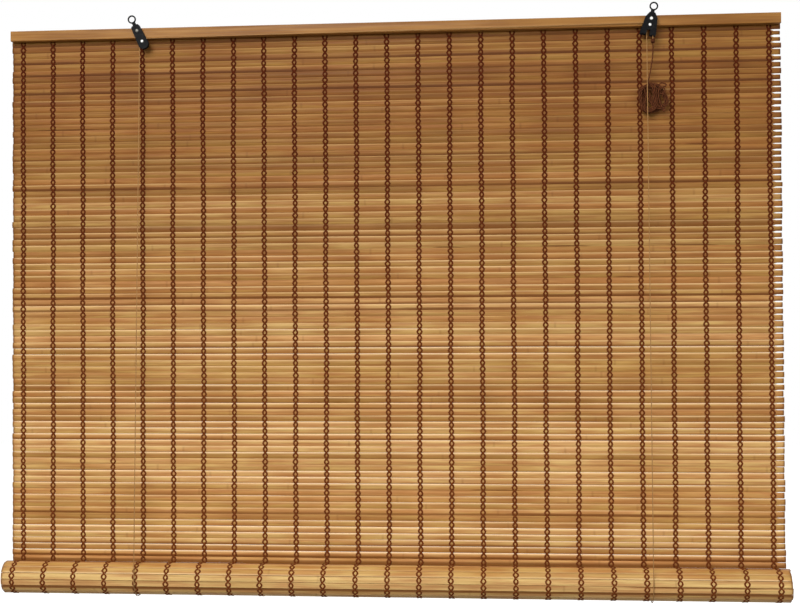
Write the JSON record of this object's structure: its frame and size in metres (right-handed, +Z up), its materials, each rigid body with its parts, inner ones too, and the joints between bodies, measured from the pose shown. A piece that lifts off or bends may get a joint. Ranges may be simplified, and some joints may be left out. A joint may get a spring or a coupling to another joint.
{
  "type": "roller blind",
  "caption": "Woven bamboo slat roller blind, half rolled up, hung by two pulley blocks with eyes, lifted by cords under the roll and a pull cord wound into a hank.",
  "frame": {"origin": "midway between the centres of the two hanging eyes' holes", "axes": "+X along the headrail to the right as seen from the room, +Y to the back towards the window, +Z up"},
  "size_m": [1.2, 0.0598, 0.9064],
  "materials": {
    "rail_wood": "plain planed wood, thin clear coat",
    "bamboo": "split bamboo, tan to brown from slat to slat",
    "warp_thread": "dark red-brown twisted thread",
    "black_metal": "black paint, low gloss",
    "steel": "bright zinc-plated steel",
    "sheave_plastic": "dark moulded plastic",
    "lift_cord": "thin pale tan cord",
    "brown_cord": "brown cotton cord"
  },
  "bodies": {
    "frame": {"headrail": "rail_wood", "clamp_batten": "rail_wood", "batten_nails": "steel", "slat_mat": "bamboo", "warp_front": "warp_thread", "warp_back": "warp_thread", "left_shell": "black_metal", "left_sleeve": "steel", "left_screw": "steel", "left_axle": "steel", "right_shell": "black_metal", "right_sleeve": "steel", "right_screw": "steel", "right_axle": "steel", "left_front_run": "lift_cord", "left_back_run": "lift_cord", "right_front_run": "lift_cord", "right_back_run": "lift_cord", "cross_cord": "lift_cord", "right_over_cord": "lift_cord", "anchor_knots": "lift_cord", "cord_joiner": "brown_cord", "pull_cord": "brown_cord", "cord_hank": "brown_cord"},
    "slings": {"left_sling": "lift_cord", "right_sling": "lift_cord"},
    "roll": {"mat_roll": "bamboo", "roll_warps": "warp_thread", "bottom_bar": "rail_wood"},
    "left_wheel": {"left_sheave": "sheave_plastic"},
    "right_front_wheel": {"right_front_sheave": "sheave_plastic"},
    "right_rear_wheel": {"right_rear_sheave": "sheave_plastic"},
    "left_ring": {"left_eye": "black_metal"},
    "right_ring": {"right_eye": "black_metal"}
  },
  "joints": [
    {"name": "roll_lift", "type": "slide", "parent": "frame", "child": "slings", "axis": [0, 0, 1], "range_m": [0, 0.63083], "deforming": ["slat_mat", "warp_front", "warp_back", "left_front_run", "right_front_run", "left_back_run", "right_back_run"]},
    {"name": "roll_turn", "type": "hinge", "parent": "slings", "child": "roll", "pos_m": [0, -0.0084, -0.8715], "axis": [1, 0, 0], "range_deg": [-1441, 0]},
    {"name": "left_wheel_spin", "type": "hinge", "parent": "frame", "child": "left_wheel", "pos_m": [-0.38749, 0, -0.03487], "axis": [0, 1, 0], "continuous": true},
    {"name": "right_front_wheel_spin", "type": "hinge", "parent": "frame", "child": "right_front_wheel", "pos_m": [0.39771, 0, -0.02943], "axis": [0, 1, 0], "continuous": true},
    {"name": "right_rear_wheel_spin", "type": "hinge", "parent": "frame", "child": "right_rear_wheel", "pos_m": [0.39771, 0, -0.02943], "axis": [0, 1, 0], "continuous": true},
    {"name": "left_eye_swivel", "type": "hinge", "parent": "frame", "child": "left_ring", "pos_m": [-0.4045, 0, 0], "axis": [-0.4384, 0, 0.8988], "continuous": true},
    {"name": "right_eye_swivel", "type": "hinge", "parent": "frame", "child": "right_ring", "pos_m": [0.4045, 0, 0], "axis": [0.225, 0, 0.9744], "continuous": true}
  ],
  "couplings": [
    {"joint": "roll_turn", "follows": "roll_lift", "rad_per_m": -39.841}
  ]
}
